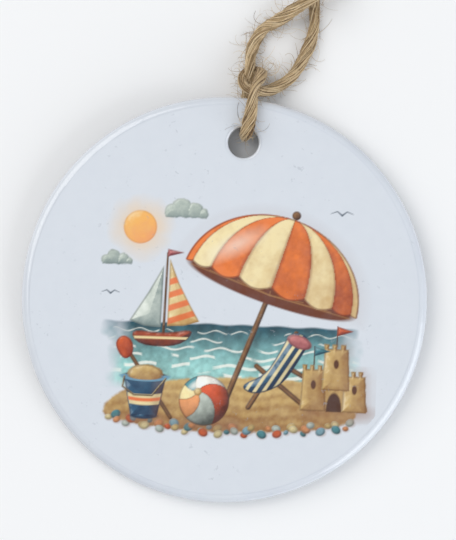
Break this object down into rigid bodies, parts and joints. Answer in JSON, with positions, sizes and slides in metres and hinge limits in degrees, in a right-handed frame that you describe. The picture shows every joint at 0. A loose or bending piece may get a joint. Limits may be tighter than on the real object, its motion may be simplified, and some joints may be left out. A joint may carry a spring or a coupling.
{
  "type": "flat ornament",
  "caption": "Flat glazed ceramic disc with a bonded picture coat and a hanging hole, on a hitched loop of jute twine that swings at the rim.",
  "frame": {"origin": "middle of the ceramic disc, halfway through its thickness", "axes": "+Z out of the printed front face; +Y from the disc's middle to its hanging hole; +X to the right seen from the front"},
  "size_m": [0.076, 0.1334, 0.0093],
  "materials": {
    "glazed_ceramic": "glossy glaze, cool white",
    "print": "clear satin-gloss polymer coat with a seaside picture",
    "jute_twine": "loosely laid natural jute, hairy"
  },
  "bodies": {
    "disc": {"ceramic_disc": "glazed_ceramic", "print_coat": "print", "twine_through_hole": "jute_twine", "rim_hitch": "jute_twine"},
    "loop": {"twine_left_limb": "jute_twine", "twine_right_limb": "jute_twine", "end_knot": "jute_twine", "twine_tail_a": "jute_twine", "twine_tail_b": "jute_twine"}
  },
  "joints": [
    {"name": "loop_swing", "type": "hinge", "parent": "disc", "child": "loop", "pos_m": [0, 0.041, -0.0011], "axis": [1, 0, 0], "range_deg": [0, 110]}
  ]
}
